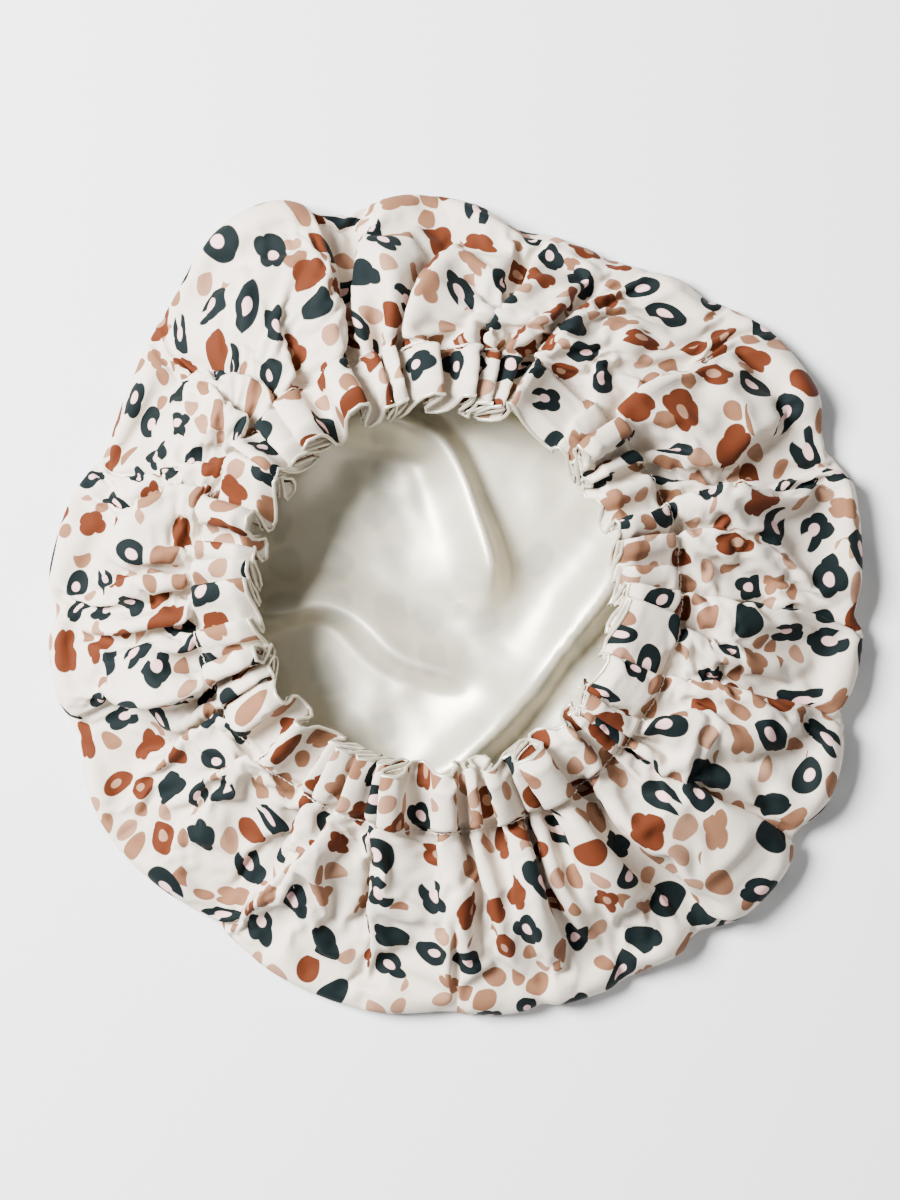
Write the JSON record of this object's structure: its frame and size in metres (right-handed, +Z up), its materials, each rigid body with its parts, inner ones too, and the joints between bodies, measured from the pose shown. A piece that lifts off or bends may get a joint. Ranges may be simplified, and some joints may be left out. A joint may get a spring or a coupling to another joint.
{
  "type": "satin-lined sleep bonnet",
  "caption": "Soft round sleep bonnet lying on its crown, printed cloth outside and satin inside, with a gathered mouth drawn in by flat elastic in a stitched casing.",
  "frame": {"origin": "on the table under the middle of the bonnet's outline, with the bonnet lying on its crown", "axes": "+Z up out of the mouth, +X to the right and +Y to the top as the picture shows it"},
  "size_m": [0.3494, 0.347, 0.0559],
  "materials": {
    "print_cloth": null,
    "ivory_satin": "glossy satin weave",
    "white_elastic": "ribbed woven elastic",
    "cream_thread": "twisted sewing thread"
  },
  "bodies": {
    "bonnet": {"print_panel": "print_cloth", "satin_lining": "ivory_satin", "casing_needle_thread": "cream_thread", "casing_bobbin_thread": "cream_thread", "casing_closing_stitch": "cream_thread", "rim_seam_thread": "cream_thread"},
    "elastic": {"elastic_band": "white_elastic", "elastic_lap_stitch": "cream_thread"}
  },
  "joints": [
    {"name": "elastic_turn", "type": "hinge", "parent": "bonnet", "child": "elastic", "pos_m": [-0.00777, 0.0036, 0.0417], "axis": [0, 0, 1], "continuous": true}
  ]
}
